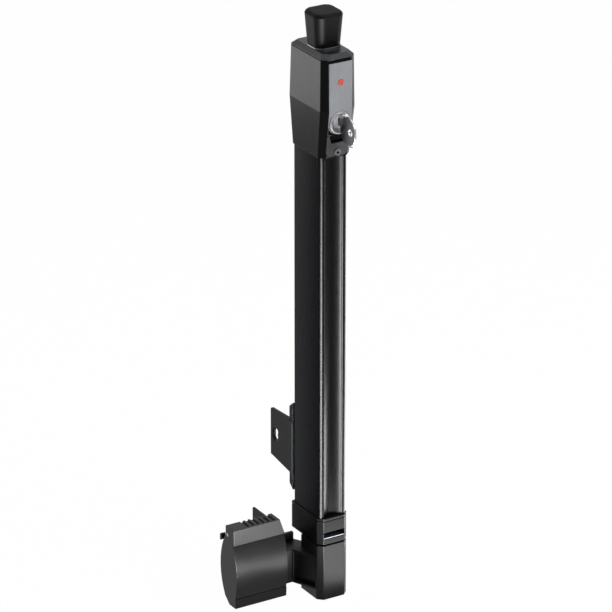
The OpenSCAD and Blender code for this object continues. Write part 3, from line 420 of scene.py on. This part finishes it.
def merged_copy(node):
    """The node's mesh as one closed skin with its flat faces joined."""
    bm = bmesh.new()
    bm.from_mesh(NODES[node].data)
    bmesh.ops.remove_doubles(bm, verts=bm.verts, dist=MERGED_WITHIN)
    bmesh.ops.dissolve_limit(bm, angle_limit=math.radians(FLAT_WITHIN), verts=bm.verts, edges=bm.edges)
    return bm


def ease_edges(bm, width):
    """Rounds the sharp outer edges, as a mould leaves them."""
    sharp = math.radians(EASED_FROM)
    shortest = SHORTEST_EASED * width
    edges = [
        e
        for e in bm.edges
        if e.is_manifold and e.is_convex and e.calc_face_angle(0) > sharp and e.calc_length() > shortest
    ]
    bmesh.ops.bevel(
        bm,
        geom=edges,
        offset=width,
        offset_type="OFFSET",
        segments=2,
        profile=0.5,
        affect="EDGES",
        clamp_overlap=False,
        loop_slide=True,
    )


def shade(bm, crease):
    """Smooth faces, with the edges past the crease angle kept sharp."""
    for f in bm.faces:
        f.smooth = True
    for e in bm.edges:
        e.smooth = not (e.is_manifold and e.calc_face_angle(0) > math.radians(crease))


def settle(piece):
    """Turns the piece's modifiers into plain mesh."""
    graph = bpy.context.evaluated_depsgraph_get()
    done = bpy.data.meshes.new_from_object(piece.evaluated_get(graph))
    piece.modifiers.clear()
    piece.data = done
    done.name = piece.name
    return piece


def finish_mesh(bm, node):
    """Turns the working mesh into a piece with weighted normals."""
    name = node.replace("_", "-")
    mesh = bpy.data.meshes.new(name)
    bm.to_mesh(mesh)
    bm.free()
    piece = put_in_scene(mesh, name)
    weigh = piece.modifiers.new("Weighted normals", "WEIGHTED_NORMAL")
    weigh.keep_sharp = True
    weigh.weight = 80
    return settle(piece)


def seat(piece, node):
    """Gives a piece its finish and ties it to its node and body."""
    piece.data.materials.clear()
    piece.data.materials.append(finishes[FINISH_OF[node]])
    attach(piece, BODY_OF[node])
    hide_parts(node)
    return piece


def dress(node, width, crease=35, reshape=None):
    """A copy of a node in its place, its edges eased by a width in millimetres."""
    bm = merged_copy(node)
    if reshape:
        reshape(bm)
    ease_edges(bm, width * MM * bpy.context.scene.latch_sizes.edge / USUAL_EDGE)
    shade(bm, crease)
    return seat(finish_mesh(bm, node), node)


def close_up(node):
    """A copy of a coil spring, with a mesh of its own."""
    bm = merged_copy(node)
    shade(bm, COIL_CREASE)
    piece = seat(finish_mesh(bm, node), node)
    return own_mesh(piece)


def roll_front(bm):
    """Turns the tube's front beads into rolled corners that end in a lip beside the hollow."""
    for v in bm.verts:
        x, y = abs(v.co.x) / MM, v.co.y / MM - TUBE_Y
        side = math.copysign(1, v.co.x)
        on_bead = abs(math.hypot(x - BEAD_X, y - BEAD_Y) - BEAD_RADIUS) < ON_ARC
        on_hollow = y < HOLLOW_BACK and abs(math.hypot(x, y - HOLLOW_Y) - HOLLOW_RADIUS) < ON_ARC
        if on_bead:
            from_side = 90 - math.degrees(math.atan2(x - BEAD_X, BEAD_Y - y))
            turn = math.radians(90 - ROLL_SWEEP * from_side / BEAD_SWEEP)
            radius = CORNER_RADIUS if turn > 0 else LIP_RADIUS
            x, y = ROLL_X + radius * math.sin(turn), radius + ROLL_FRONT - radius * math.cos(turn)
        elif on_hollow:
            turn = math.atan2(x, y - HOLLOW_Y) * NEW_HOLLOW_TURN / HOLLOW_TURN
            x = NEW_HOLLOW_RADIUS * math.sin(turn)
            y = NEW_HOLLOW_Y + NEW_HOLLOW_RADIUS * math.cos(turn)
        else:
            continue
        v.co.x, v.co.y = side * x * MM, (y + TUBE_Y) * MM


def split_ring_tree(name, finish):
    """A node tree that sweeps wire along a spiral, and its inputs."""
    tree = bpy.data.node_groups.new(name, "GeometryNodeTree")
    face = tree.interface
    inputs = {
        label: face.new_socket(name=label, in_out="INPUT", socket_type="NodeSocketFloat")
        for label in ("Turns", "Radius", "Wire", "Rise")
    }
    face.new_socket(name="Geometry", in_out="OUTPUT", socket_type="NodeSocketGeometry")
    sizes = tree.nodes.new("NodeGroupInput")
    out = tree.nodes.new("NodeGroupOutput")
    spiral = tree.nodes.new("GeometryNodeCurveSpiral")
    spiral.inputs["Resolution"].default_value = 48
    section = tree.nodes.new("GeometryNodeCurvePrimitiveCircle")
    section.inputs["Resolution"].default_value = 12
    sweep = tree.nodes.new("GeometryNodeCurveToMesh")
    sweep.inputs["Fill Caps"].default_value = True
    smooth = tree.nodes.new("GeometryNodeSetShadeSmooth")
    paint = tree.nodes.new("GeometryNodeSetMaterial")
    paint.inputs["Material"].default_value = finish
    link = tree.links.new
    link(sizes.outputs["Turns"], spiral.inputs["Rotations"])
    link(sizes.outputs["Radius"], spiral.inputs["Start Radius"])
    link(sizes.outputs["Radius"], spiral.inputs["End Radius"])
    link(sizes.outputs["Rise"], spiral.inputs["Height"])
    link(sizes.outputs["Wire"], section.inputs["Radius"])
    link(spiral.outputs["Curve"], sweep.inputs["Curve"])
    link(section.outputs["Curve"], sweep.inputs["Profile Curve"])
    link(sweep.outputs["Mesh"], smooth.inputs["Geometry"])
    link(smooth.outputs["Geometry"], paint.inputs["Geometry"])
    link(paint.outputs["Geometry"], out.inputs["Geometry"])
    return tree, inputs


def grown(name, tree, inputs, values):
    """Runs a node tree on an empty mesh and keeps the result as a plain mesh."""
    piece = put_in_scene(bpy.data.meshes.new(name), name)
    grow = piece.modifiers.new("Grow", "NODES")
    grow.node_group = tree
    for label, value in values.items():
        grow[inputs[label].identifier] = value
    return settle(piece)


# Settings


class LatchFinish(bpy.types.PropertyGroup):
    """Colours of the latch."""

    black: bpy.props.FloatVectorProperty(
        name="Black",
        description="Colour of the black pieces",
        subtype="COLOR",
        size=3,
        min=0,
        max=1,
        default=(0.0085, 0.0087, 0.0095),
    )
    silver: bpy.props.FloatVectorProperty(
        name="Silver",
        description="Colour of the faceplate",
        subtype="COLOR",
        size=3,
        min=0,
        max=1,
        default=(0.42, 0.43, 0.45),
    )
    signal_red: bpy.props.FloatVectorProperty(
        name="Signal red",
        description="Colour of the status window",
        subtype="COLOR",
        size=3,
        min=0,
        max=1,
        default=(0.72, 0.02, 0.015),
    )


class LatchSizes(bpy.types.PropertyGroup):
    """Sizes of the latch's finish."""

    edge: bpy.props.FloatProperty(
        name="Edge",
        description="Radius on the moulded edges",
        subtype="DISTANCE",
        unit="LENGTH",
        default=USUAL_EDGE,
        min=0.0001,
        max=0.001,
    )
    ring_turns: bpy.props.FloatProperty(
        name="Ring turns", description="Turns of wire in the key ring", default=1.9, min=1.2, max=3
    )


class StageSettings(bpy.types.PropertyGroup):
    """Place of the camera."""

    azimuth: bpy.props.FloatProperty(
        name="Azimuth",
        description="Camera's turn from straight ahead",
        subtype="ANGLE",
        default=math.radians(-31),
    )
    pitch: bpy.props.FloatProperty(
        name="Pitch", description="Camera's height angle", subtype="ANGLE", default=math.radians(23.2)
    )
    distance: bpy.props.FloatProperty(
        name="Distance", description="Camera's distance", subtype="DISTANCE", unit="LENGTH", default=3.839
    )


# Operators


class LATCH_OT_finishes(bpy.types.Operator):
    """Make the finishes and give each node its own"""

    bl_idname = "latch.finishes"
    bl_label = "Finishes"

    def execute(self, context):
        finishes.update(make_finishes(context.scene.latch_finish))
        for node, obj in NODES.items():
            obj.data.materials.clear()
            obj.data.materials.append(finishes[FINISH_OF[node]])
        return {"FINISHED"}


class LATCH_OT_head(bpy.types.Operator):
    """Make the head, its cap, plates and knob"""

    bl_idname = "latch.head"
    bl_label = "Head and knob"

    def execute(self, context):
        dress("head_shell", 0.5, crease=7.8)
        dress("head_cap", 0.4, crease=14)
        dress("knob", 0.4, crease=14)
        dress("knob_collar", 0.25)
        dress("faceplate", 0.2)
        dress("chin_plate", 0.2)
        dress("head_screw", 0.2)
        return {"FINISHED"}


class LATCH_OT_tube(bpy.types.Operator):
    """Make the tube, its return spring, the cuff and the post bracket"""

    bl_idname = "latch.tube"
    bl_label = "Tube and cuff"

    def execute(self, context):
        dress("body_tube", 0.2, reshape=roll_front)
        close_up("return_spring")
        dress("lower_cuff", 0.4)
        dress("post_bracket", 0.4)
        return {"FINISHED"}


class LATCH_OT_striker(bpy.types.Operator):
    """Make the striker, its pin spring, its cover and the gate bracket"""

    bl_idname = "latch.striker"
    bl_label = "Striker"

    def execute(self, context):
        dress("striker_housing", 0.6)
        close_up("pin_spring")
        dress("striker_cover", 0.5)
        dress("gate_bracket", 0.3)
        return {"FINISHED"}


class LATCH_OT_lock(bpy.types.Operator):
    """Make the lock's bezel and plug, the key and its split ring"""

    bl_idname = "latch.lock"
    bl_label = "Lock and key"

    def execute(self, context):
        dress("lock_bezel", 0.12)
        dress("lock_plug", 0.2)
        self.add_key()
        self.add_ring(context.scene.latch_sizes.ring_turns)
        return {"FINISHED"}

    def add_key(self):
        """The flat sides of the blank get a dark copy of the nickel, a painted dark reflection, and its rim
        keeps the bright nickel.
        """
        key = dress("key", 0.25)
        key.data.materials.append(finishes["key face painted dark"])
        for face in key.data.polygons:
            face.material_index = 1 if abs(face.normal.x) > KEY_FLAT else 0

    def add_ring(self, turns):
        """The spiral's own axis is laid across the key."""
        low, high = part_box("key_ring")
        centre = (low + high) / 2
        radius = (high.z - low.z) / 2 - RING_INSET
        tree, inputs = split_ring_tree("split ring", finishes["bright chrome"])
        values = {"Turns": turns, "Radius": radius, "Wire": RING_WIRE, "Rise": RING_RISE}
        ring = grown("key-ring", tree, inputs, values)
        for v in ring.data.vertices:
            x, y, z = v.co
            v.co = Vector(((z - RING_RISE / 2) * RING_PRESSED, x, y)) + centre
        seat(ring, "key_ring")


class LATCH_OT_stage(bpy.types.Operator):
    """Make the floor, the world, the camera and the lamps"""

    bl_idname = "latch.stage"
    bl_label = "Stage"

    def execute(self, context):
        scene = context.scene
        scene.view_settings.view_transform = "Standard"
        self.add_floor()
        self.add_world(scene)
        self.add_camera(scene)
        self.add_lamps()
        self.add_panels()
        return {"FINISHED"}

    def add_floor(self):
        mesh = bpy.data.meshes.new("floor")
        r, z = FLOOR_REACH, CAD_BOX[0].z - FLOOR_GAP
        mesh.from_pydata([(-r, -r, z), (r, -r, z), (r, r, z), (-r, r, z)], [], [(0, 1, 2, 3)])
        floor = put_in_scene(mesh, "floor")
        mat, tree, shader = new_material("pale floor")
        shader.inputs["Base Color"].default_value = (0.8, 0.8, 0.8, 1)
        shader.inputs["Roughness"].default_value = 0.9
        shader.inputs["Specular IOR Level"].default_value = 0.1
        glow = tree.nodes.new("ShaderNodeEmission")
        glow.inputs["Strength"].default_value = 1.0
        out = next(n for n in tree.nodes if n.type == "OUTPUT_MATERIAL")
        self.seen_mix(tree, FLOOR_WHITE, shader.outputs["BSDF"], glow.outputs["Emission"], out)
        mesh.materials.append(mat)

    def add_world(self, scene):
        world = bpy.data.worlds.new("studio")
        scene.world = world
        world.use_nodes = True
        tree = world.node_tree
        tree.nodes.clear()
        out = tree.nodes.new("ShaderNodeOutputWorld")
        seen = tree.nodes.new("ShaderNodeBackground")
        seen.inputs["Color"].default_value = (1, 1, 1, 1)
        seen.inputs["Strength"].default_value = 1.0
        fill = tree.nodes.new("ShaderNodeBackground")
        fill.inputs["Color"].default_value = (0.96, 0.98, 1, 1)
        fill.inputs["Strength"].default_value = WORLD_FILL
        self.seen_mix(tree, 1.0, fill.outputs["Background"], seen.outputs["Background"], out)

    @staticmethod
    def seen_mix(tree, share, lighting, seen, out):
        """Shows a share of one shader to camera, glossy and transmission rays, and lights with the other."""
        path = tree.nodes.new("ShaderNodeLightPath")
        total = path.outputs["Is Camera Ray"]
        for other in ("Is Glossy Ray", "Is Transmission Ray"):
            add = tree.nodes.new("ShaderNodeMath")
            add.operation = "ADD"
            add.use_clamp = True
            tree.links.new(total, add.inputs[0])
            tree.links.new(path.outputs[other], add.inputs[1])
            total = add.outputs[0]
        part = tree.nodes.new("ShaderNodeMath")
        part.operation = "MULTIPLY"
        part.inputs[1].default_value = share
        tree.links.new(total, part.inputs[0])
        mix = tree.nodes.new("ShaderNodeMixShader")
        tree.links.new(part.outputs[0], mix.inputs["Fac"])
        tree.links.new(lighting, mix.inputs[1])
        tree.links.new(seen, mix.inputs[2])
        tree.links.new(mix.outputs["Shader"], out.inputs["Surface"])

    def add_camera(self, scene):
        s = scene.latch_stage
        turn, pitch = s.azimuth, s.pitch
        back = Vector((math.sin(turn) * math.cos(pitch), -math.cos(turn) * math.cos(pitch), math.sin(pitch)))
        right = Vector((math.cos(turn), math.sin(turn), 0))
        aim = TUBE_MIDDLE - right * (RIGHT_PX / PX_PER_MM * MM)
        lens = bpy.data.cameras.new("camera")
        lens.sensor_width = 36
        lens.lens = FOCAL_PX / PICTURE_PX * lens.sensor_width
        lens.clip_end = 100
        camera = put_in_scene(lens, "camera")
        camera.rotation_mode = "QUATERNION"
        camera.location = aim + back * s.distance
        camera.rotation_quaternion = (-back).to_track_quat("-Z", "Y")
        scene.camera = camera

    @staticmethod
    def area_lamp(name, width, depth, power):
        """A rectangular lamp that the camera doesn't see."""
        lamp = bpy.data.lights.new(name, "AREA")
        lamp.shape = "RECTANGLE"
        lamp.size = width
        lamp.size_y = depth
        lamp.energy = power
        holder = put_in_scene(lamp, name)
        holder.visible_camera = False
        return holder

    def add_lamps(self):
        for name, direction, distance, width, depth, power in LAMPS:
            holder = self.area_lamp(name, width, depth, power)
            way = Vector(direction).normalized()
            holder.location = LIT_POINT + way * distance
            holder.rotation_mode = "QUATERNION"
            holder.rotation_quaternion = way.to_track_quat("Z", "Y")

    def add_panels(self):
        """Each run is cut into panels that widen with their distance, so it looks even from the latch."""
        start = PANELS_FROM + Vector((0, 0, CAD_BOX[0].z + PANEL_GAP))
        for name, turn, near, far, half, radiance in PANEL_RUNS:
            steps = max(1, round(math.log(far / near) / math.log(PANEL_GROWTH)))
            ratio = (far / near) ** (1 / steps)
            turn = math.radians(turn)
            way = Vector((math.sin(turn), -math.cos(turn), 0))
            for i in range(steps):
                low = near * ratio**i
                depth = low * (ratio - 1)
                middle = low + depth / 2
                width = 2 * middle * math.tan(math.radians(half))
                holder = self.area_lamp(f"{name} {i + 1}", width, depth, radiance * math.pi * width * depth)
                holder.location = start + way * middle
                holder.rotation_euler = (math.pi, 0, math.pi + turn)
                holder.visible_diffuse = False


class LATCH_PT_panel(bpy.types.Panel):
    """Steps and settings of the latch"""

    bl_idname = "LATCH_PT_panel"
    bl_label = "Gate latch"
    bl_space_type = "VIEW_3D"
    bl_region_type = "UI"
    bl_category = "Gate latch"

    def draw(self, context):
        scene = context.scene
        for settings, fields in (
            (scene.latch_finish, ("black", "silver", "signal_red")),
            (scene.latch_sizes, ("edge", "ring_turns")),
            (scene.latch_stage, ("azimuth", "pitch", "distance")),
        ):
            column = self.layout.column(align=True)
            for field in fields:
                column.prop(settings, field)
        for step in STEPS:
            self.layout.operator(step)


CLASSES = (
    LatchFinish,
    LatchSizes,
    StageSettings,
    LATCH_OT_finishes,
    LATCH_OT_head,
    LATCH_OT_tube,
    LATCH_OT_striker,
    LATCH_OT_lock,
    LATCH_OT_stage,
    LATCH_PT_panel,
)
STEPS = ("latch.finishes", "latch.head", "latch.tube", "latch.striker", "latch.lock", "latch.stage")


def register():
    for cls in CLASSES:
        bpy.utils.register_class(cls)
    bpy.types.Scene.latch_finish = bpy.props.PointerProperty(type=LatchFinish)
    bpy.types.Scene.latch_sizes = bpy.props.PointerProperty(type=LatchSizes)
    bpy.types.Scene.latch_stage = bpy.props.PointerProperty(type=StageSettings)


def unregister():
    del bpy.types.Scene.latch_stage
    del bpy.types.Scene.latch_sizes
    del bpy.types.Scene.latch_finish
    for cls in reversed(CLASSES):
        bpy.utils.unregister_class(cls)


def main():
    register()
    for step in STEPS:
        group, name = step.split(".")
        getattr(getattr(bpy.ops, group), name)()


if __name__ == "__main__":
    main()
